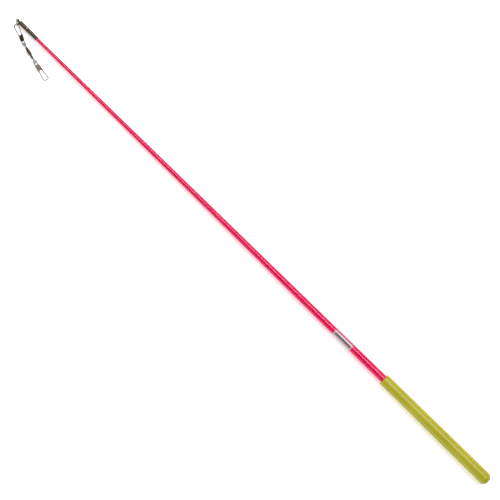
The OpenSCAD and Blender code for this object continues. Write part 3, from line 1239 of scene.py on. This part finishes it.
def build_eye(side, centre, along, bead_end, bead):
    """Wire eye: swollen bead, shank, and a loop that ends against its own neck."""
    metal = metal_settings()
    node = "swivel_eye_" + side
    where = eye_place(node, centre, along)
    low, _ = reach(node, where)
    ring = metal.eye_radius / MM
    bend = metal.eye_bend / MM
    radius = -low.x - ring
    shank = 0.5
    loop_sweep = 344
    end_thickness = 0.8
    touch = math.sqrt(ring ** 2 + 2 * ring * bend)
    lean = math.degrees(math.atan2(bend, touch))
    bead_at = bead_end - bead
    swollen = arc((bead_at, 0), (bead, bead), 6, 138, 11)
    swollen = [(x, r) for x, r in swollen if r > shank or x > bead_at]
    shank_end = swollen[-1][0] - 0.15
    path = formed_path((shank_end, 0), 180, [
        (shank_end - touch, bend, 90 - lean), (0, ring, lean - loop_sweep)
    ])
    points = [Vector((x, 0, 0)) for x, _ in swollen] + path
    thickness = [r / radius for _, r in swollen] + [shank / radius] * 2 + [1.0] * (len(path) - 2)
    thickness[-1] = end_thickness
    steel = finish_of("steel")
    loop = wire(points, thickness, radius, steel)
    piece(side + "_eye_loop", [loop], where, steel, side + "_eye", "bright_steel", node)


# ---------------------------------------------------------------- stage

class RIBBONWAND_OT_stage(bpy.types.Operator):
    """Set up the floor, the lights and the camera"""

    bl_idname = "ribbon_wand.stage"
    bl_label = "Stage"

    def execute(self, context):
        build_floor()
        build_lights()
        build_camera()
        context.scene.view_settings.view_transform = "Standard"
        context.scene.view_settings.look = "None"
        return {"FINISHED"}


def build_floor():
    """Level floor, wide enough to fill every view."""
    half = 4.0
    corners = [(-half, -half, 0), (half, -half, 0), (half, half, 0), (-half, half, 0)]
    mesh = mesh_of(corners, [(0, 1, 2, 3)])
    mesh.materials.append(finish_of("floor").material)
    floor = bpy.data.objects.new("floor", mesh)
    bpy.context.scene.collection.objects.link(floor)


def area_light(name, spot, target, width, depth, power):
    """Rectangular soft light at a spot, facing a target."""
    light = bpy.data.lights.new(name, "AREA")
    light.shape = "RECTANGLE"
    light.size, light.size_y = width, depth
    light.energy = power
    holder = bpy.data.objects.new(name, light)
    holder.location = spot
    holder.rotation_euler = (Vector(target) - Vector(spot)).to_track_quat("-Z", "Y").to_euler()
    bpy.context.scene.collection.objects.link(holder)


def build_lights():
    """High key light behind the wand, low fill light in front, and a dim even sky."""
    stage = stage_settings()
    aim = Vector(stage.aim)
    above, low = Vector((0, 0.60, 1.14)), Vector((0, -0.9, 0.2))
    area_light("key_light", aim + above, aim, 1.6, 0.6, stage.key_power)
    area_light("fill_light", aim + low, aim, 1.8, 0.4, stage.fill_power)
    world = bpy.data.worlds.new("sky")
    world.use_nodes = True
    bpy.context.scene.world = world
    sky = Graph(world.node_tree)
    backdrop = sky.tree.nodes["Background"]
    backdrop.inputs["Color"].default_value = (1, 1, 1, 1)
    backdrop.inputs["Strength"].default_value = stage.sky_strength


def build_camera():
    """Camera that looks straight down on the wand."""
    stage = stage_settings()
    camera = bpy.data.cameras.new("camera")
    camera.lens = stage.lens
    camera.clip_start, camera.clip_end = 0.05, 20
    holder = bpy.data.objects.new("camera", camera)
    distance = stage.view_width * camera.lens / camera.sensor_width
    holder.location = Vector(stage.aim) + Vector((0, 0, distance))
    holder.rotation_euler = (0, 0, stage.turn)
    bpy.context.scene.collection.objects.link(holder)
    bpy.context.scene.camera = holder


# ---------------------------------------------------------------- panel

class RIBBONWAND_PT_panel(bpy.types.Panel):
    """Buttons that build the wand, piece by piece"""

    bl_idname = "RIBBONWAND_PT_panel"
    bl_label = "Ribbon wand"
    bl_space_type = "VIEW_3D"
    bl_region_type = "UI"
    bl_category = "Ribbon wand"

    def draw(self, context):
        for operator in OPERATORS:
            self.layout.operator(operator.bl_idname)
        for group in GROUPS:
            settings = getattr(context.scene, group)
            box = self.layout.box()
            for name in settings.__annotations__:
                box.prop(settings, name)


OPERATORS = (
    RIBBONWAND_OT_stage,
    RIBBONWAND_OT_rod,
    RIBBONWAND_OT_grip,
    RIBBONWAND_OT_label,
    RIBBONWAND_OT_ferrule,
    RIBBONWAND_OT_tip,
    RIBBONWAND_OT_snaps,
    RIBBONWAND_OT_swivel,
)
GROUPS = {
    "ribbon_wand": WandSettings,
    "ribbon_wand_metal": MetalSettings,
    "ribbon_wand_stage": StageSettings,
}


def register():
    for group, settings in GROUPS.items():
        bpy.utils.register_class(settings)
        setattr(bpy.types.Scene, group, PointerProperty(type=settings))
    for shown in (*OPERATORS, RIBBONWAND_PT_panel):
        bpy.utils.register_class(shown)


def unregister():
    for shown in (RIBBONWAND_PT_panel, *reversed(OPERATORS)):
        bpy.utils.unregister_class(shown)
    for group, settings in GROUPS.items():
        delattr(bpy.types.Scene, group)
        bpy.utils.unregister_class(settings)


def main():
    """Builds everything through the operators."""
    register()
    for operator in OPERATORS:
        family, name = operator.bl_idname.split(".")
        getattr(getattr(bpy.ops, family), name)()


if __name__ == "__main__":
    main()
